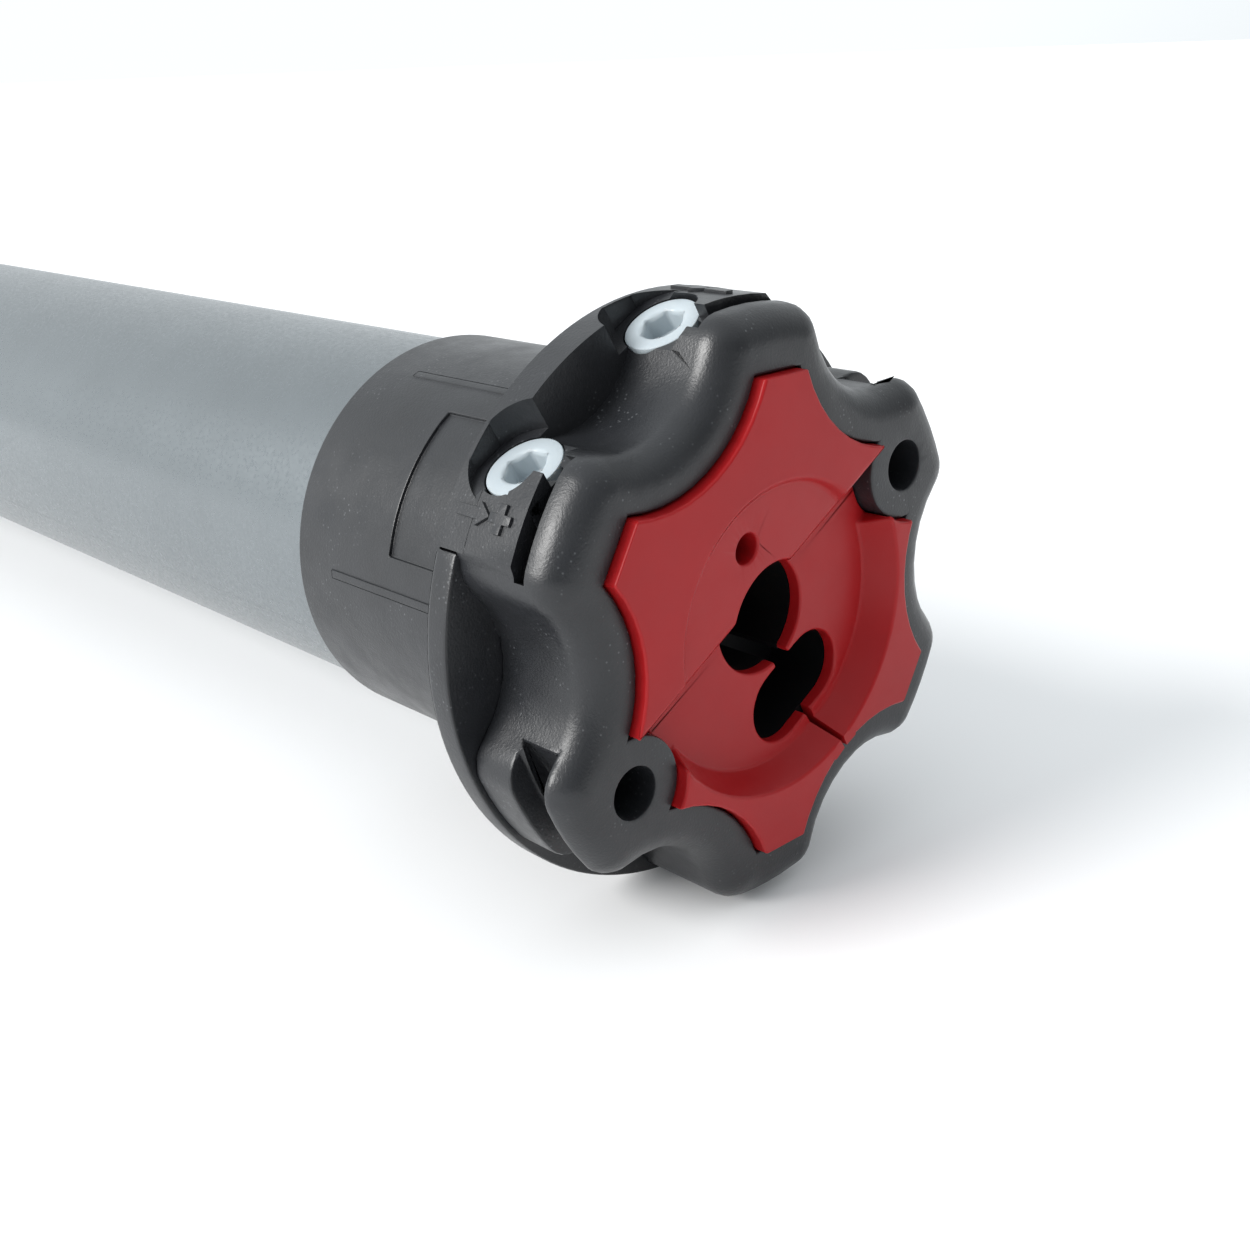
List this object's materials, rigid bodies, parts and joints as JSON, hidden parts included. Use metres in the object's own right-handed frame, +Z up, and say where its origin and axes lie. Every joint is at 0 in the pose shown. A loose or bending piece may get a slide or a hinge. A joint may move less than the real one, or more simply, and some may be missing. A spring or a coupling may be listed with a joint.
{
  "type": "tubular roller blind motor",
  "caption": "Tubular motor for a roller blind: round steel tube, lobed black head with a red front plate and white limit adjusters, turning crown ring and output shaft.",
  "frame": {"origin": "centre of the head's mounting face, midway between the two fixing holes, on the tube's axis", "axes": "+X out of the head's face along the tube's axis, the tube runs to -X; +Z up; the head is turned 30 degrees about X from adjusters straight up"},
  "size_m": [0.5632, 0.0646, 0.0646],
  "materials": {
    "black_moulding": "fine textured",
    "black_insert": "satin",
    "red_plate": "satin moulded",
    "white_adjuster": "smooth",
    "natural_plastic": "moulded",
    "follower_red": "moulded",
    "follower_blue": "moulded",
    "tube_steel": "satin galvanised",
    "steel": "machined",
    "sintered_steel": "sintered",
    "die_cast": "die cast",
    "brass": "machined",
    "spindle_brass": "machined",
    "bronze_bush": "sintered bronze",
    "laminations": "stacked sheet",
    "copper_winding": "enamelled copper",
    "lining": "friction lining",
    "capacitor_can": "smooth",
    "lead_sleeve": "insulation",
    "spring_steel": "rolled"
  },
  "bodies": {
    "motor_body": {"head_housing": "black_moulding", "head_base": "black_moulding", "front_plate": "red_plate", "cable_socket": "black_insert", "socket_pins": "brass", "base_screws": "steel", "crown_retaining_ring": "spring_steel", "motor_tube": "tube_steel", "tube_screws": "steel", "limit_frame": "natural_plastic", "microswitch_up": "black_insert", "microswitch_down": "black_insert", "motor_leads": "lead_sleeve", "capacitor": "capacitor_can", "capacitor_holders": "natural_plastic", "motor_front_shield": "die_cast", "front_bearing": "steel", "stator_core": "laminations", "stator_winding": "copper_winding", "rear_bearing": "steel", "motor_rear_shield": "die_cast", "brake_plate": "sintered_steel", "gearbox_cover": "die_cast", "gearbox_ring": "sintered_steel", "output_bearing": "bronze_bush", "output_end_cap": "die_cast", "end_cap_screws": "steel"},
    "crown": {"crown_ring": "black_moulding"},
    "counter_gear": {"counter_pinion": "natural_plastic"},
    "adjuster_up": {"adjuster_up": "white_adjuster"},
    "spindle_up": {"limit_spindle_up": "spindle_brass"},
    "follower_up": {"limit_follower_up": "follower_red"},
    "nut_up": {"limit_nut_up": "natural_plastic"},
    "lever_up": {"switch_lever_up": "spring_steel"},
    "adjuster_down": {"adjuster_down": "white_adjuster"},
    "spindle_down": {"limit_spindle_down": "spindle_brass"},
    "follower_down": {"limit_follower_down": "follower_blue"},
    "nut_down": {"limit_nut_down": "natural_plastic"},
    "lever_down": {"switch_lever_down": "spring_steel"},
    "rotor": {"rotor_shaft": "steel", "rotor_core": "laminations", "sun_gear": "steel"},
    "brake": {"brake_armature": "sintered_steel", "brake_lining": "lining"},
    "carrier_1": {"carrier_1": "sintered_steel"},
    "carrier_2": {"carrier_2": "sintered_steel"},
    "output": {"output_carrier": "sintered_steel", "output_shaft": "steel"},
    "planet_1a": {"planet_1a": "natural_plastic"},
    "planet_1b": {"planet_1b": "natural_plastic"},
    "planet_1c": {"planet_1c": "natural_plastic"},
    "planet_2a": {"planet_2a": "sintered_steel"},
    "planet_2b": {"planet_2b": "sintered_steel"},
    "planet_2c": {"planet_2c": "sintered_steel"},
    "planet_3a": {"planet_3a": "sintered_steel"},
    "planet_3b": {"planet_3b": "sintered_steel"},
    "planet_3c": {"planet_3c": "sintered_steel"}
  },
  "joints": [
    {"name": "crown_turn", "type": "hinge", "parent": "motor_body", "child": "crown", "pos_m": [-0.03475, 0, 0], "axis": [1, 0, 0], "continuous": true},
    {"name": "counter_turn", "type": "hinge", "parent": "motor_body", "child": "counter_gear", "pos_m": [-0.0192, -0.0088, 0.01524], "axis": [1, 0, 0], "continuous": true},
    {"name": "adjuster_up_turn", "type": "hinge", "parent": "motor_body", "child": "adjuster_up", "pos_m": [-0.0109, -0.02332, 0.0191], "axis": [0, -0.5, 0.866], "range_deg": [-7200, 7200]},
    {"name": "spindle_up_turn", "type": "hinge", "parent": "motor_body", "child": "spindle_up", "pos_m": [-0.0109, -0.01188, 0.00808], "axis": [1, 0, 0], "range_deg": [-2216.38, 2216.38]},
    {"name": "follower_up_slide", "type": "slide", "parent": "motor_body", "child": "follower_up", "axis": [1, 0, 0], "range_m": [-0.00307, 0.00307]},
    {"name": "nut_up_turn", "type": "hinge", "parent": "follower_up", "child": "nut_up", "pos_m": [-0.0585, -0.01188, 0.00808], "axis": [1, 0, 0], "continuous": true},
    {"name": "lever_up_press", "type": "hinge", "parent": "motor_body", "child": "lever_up", "pos_m": [-0.0756, -0.01132, -0.0055], "axis": [0, 0.866, 0.5], "range_deg": [0, 8], "stiffness_Nm_per_rad": 0.0005},
    {"name": "adjuster_down_turn", "type": "hinge", "parent": "motor_body", "child": "adjuster_down", "pos_m": [-0.0109, -0.00488, 0.02975], "axis": [0, -0.5, 0.866], "range_deg": [-7200, 7200]},
    {"name": "spindle_down_turn", "type": "hinge", "parent": "motor_body", "child": "spindle_down", "pos_m": [-0.0109, -0.00105, 0.01433], "axis": [1, 0, 0], "range_deg": [-2216.38, 2216.38]},
    {"name": "follower_down_slide", "type": "slide", "parent": "motor_body", "child": "follower_down", "axis": [1, 0, 0], "range_m": [-0.00307, 0.00307]},
    {"name": "nut_down_turn", "type": "hinge", "parent": "follower_down", "child": "nut_down", "pos_m": [-0.0585, -0.00105, 0.01433], "axis": [1, 0, 0], "continuous": true},
    {"name": "lever_down_press", "type": "hinge", "parent": "motor_body", "child": "lever_down", "pos_m": [-0.0756, 0.01042, 0.00705], "axis": [0, 0.866, 0.5], "range_deg": [0, 8], "stiffness_Nm_per_rad": 0.0005},
    {"name": "rotor_turn", "type": "hinge", "parent": "motor_body", "child": "rotor", "pos_m": [-0.3946, 0, 0], "axis": [1, 0, 0], "continuous": true},
    {"name": "brake_release", "type": "slide", "parent": "rotor", "child": "brake", "axis": [1, 0, 0], "range_m": [0, 0.0008]},
    {"name": "carrier_1_turn", "type": "hinge", "parent": "motor_body", "child": "carrier_1", "pos_m": [-0.4595, 0, 0], "axis": [1, 0, 0], "continuous": true},
    {"name": "carrier_2_turn", "type": "hinge", "parent": "motor_body", "child": "carrier_2", "pos_m": [-0.4845, 0, 0], "axis": [1, 0, 0], "continuous": true},
    {"name": "output_turn", "type": "hinge", "parent": "motor_body", "child": "output", "pos_m": [-0.5195, 0, 0], "axis": [1, 0, 0], "continuous": true},
    {"name": "planet_1a_turn", "type": "hinge", "parent": "carrier_1", "child": "planet_1a", "pos_m": [-0.454, 0.00929, 0.00536], "axis": [1, 0, 0], "continuous": true},
    {"name": "planet_1b_turn", "type": "hinge", "parent": "carrier_1", "child": "planet_1b", "pos_m": [-0.454, -0.00929, 0.00536], "axis": [1, 0, 0], "continuous": true},
    {"name": "planet_1c_turn", "type": "hinge", "parent": "carrier_1", "child": "planet_1c", "pos_m": [-0.454, 0, -0.01073], "axis": [1, 0, 0], "continuous": true},
    {"name": "planet_2a_turn", "type": "hinge", "parent": "carrier_2", "child": "planet_2a", "pos_m": [-0.478, 0.00929, 0.00536], "axis": [1, 0, 0], "continuous": true},
    {"name": "planet_2b_turn", "type": "hinge", "parent": "carrier_2", "child": "planet_2b", "pos_m": [-0.478, -0.00929, 0.00536], "axis": [1, 0, 0], "continuous": true},
    {"name": "planet_2c_turn", "type": "hinge", "parent": "carrier_2", "child": "planet_2c", "pos_m": [-0.478, 0, -0.01073], "axis": [1, 0, 0], "continuous": true},
    {"name": "planet_3a_turn", "type": "hinge", "parent": "output", "child": "planet_3a", "pos_m": [-0.511, 0.00929, 0.00536], "axis": [1, 0, 0], "continuous": true},
    {"name": "planet_3b_turn", "type": "hinge", "parent": "output", "child": "planet_3b", "pos_m": [-0.511, -0.00929, 0.00536], "axis": [1, 0, 0], "continuous": true},
    {"name": "planet_3c_turn", "type": "hinge", "parent": "output", "child": "planet_3c", "pos_m": [-0.511, 0, -0.01073], "axis": [1, 0, 0], "continuous": true}
  ],
  "couplings": [
    {"joint": "counter_turn", "follows": "crown_turn", "ratio": 5.4},
    {"joint": "adjuster_up_turn", "follows": "follower_up_slide", "rad_per_m": 40841},
    {"joint": "spindle_up_turn", "follows": "follower_up_slide", "rad_per_m": 12566},
    {"joint": "nut_up_turn", "follows": "crown_turn", "ratio": -2.8588},
    {"joint": "adjuster_down_turn", "follows": "follower_down_slide", "rad_per_m": 40841},
    {"joint": "spindle_down_turn", "follows": "follower_down_slide", "rad_per_m": -12566},
    {"joint": "nut_down_turn", "follows": "crown_turn", "ratio": -2.8588},
    {"joint": "carrier_1_turn", "follows": "rotor_turn", "ratio": 0.18182},
    {"joint": "carrier_2_turn", "follows": "rotor_turn", "ratio": 0.033058},
    {"joint": "output_turn", "follows": "rotor_turn", "ratio": 0.0060105},
    {"joint": "planet_1a_turn", "follows": "rotor_turn", "ratio": -0.46753},
    {"joint": "planet_1b_turn", "follows": "rotor_turn", "ratio": -0.46753},
    {"joint": "planet_1c_turn", "follows": "rotor_turn", "ratio": -0.46753},
    {"joint": "planet_2a_turn", "follows": "rotor_turn", "ratio": -0.085006},
    {"joint": "planet_2b_turn", "follows": "rotor_turn", "ratio": -0.085006},
    {"joint": "planet_2c_turn", "follows": "rotor_turn", "ratio": -0.085006},
    {"joint": "planet_3a_turn", "follows": "rotor_turn", "ratio": -0.015456},
    {"joint": "planet_3b_turn", "follows": "rotor_turn", "ratio": -0.015456},
    {"joint": "planet_3c_turn", "follows": "rotor_turn", "ratio": -0.015456}
  ]
}
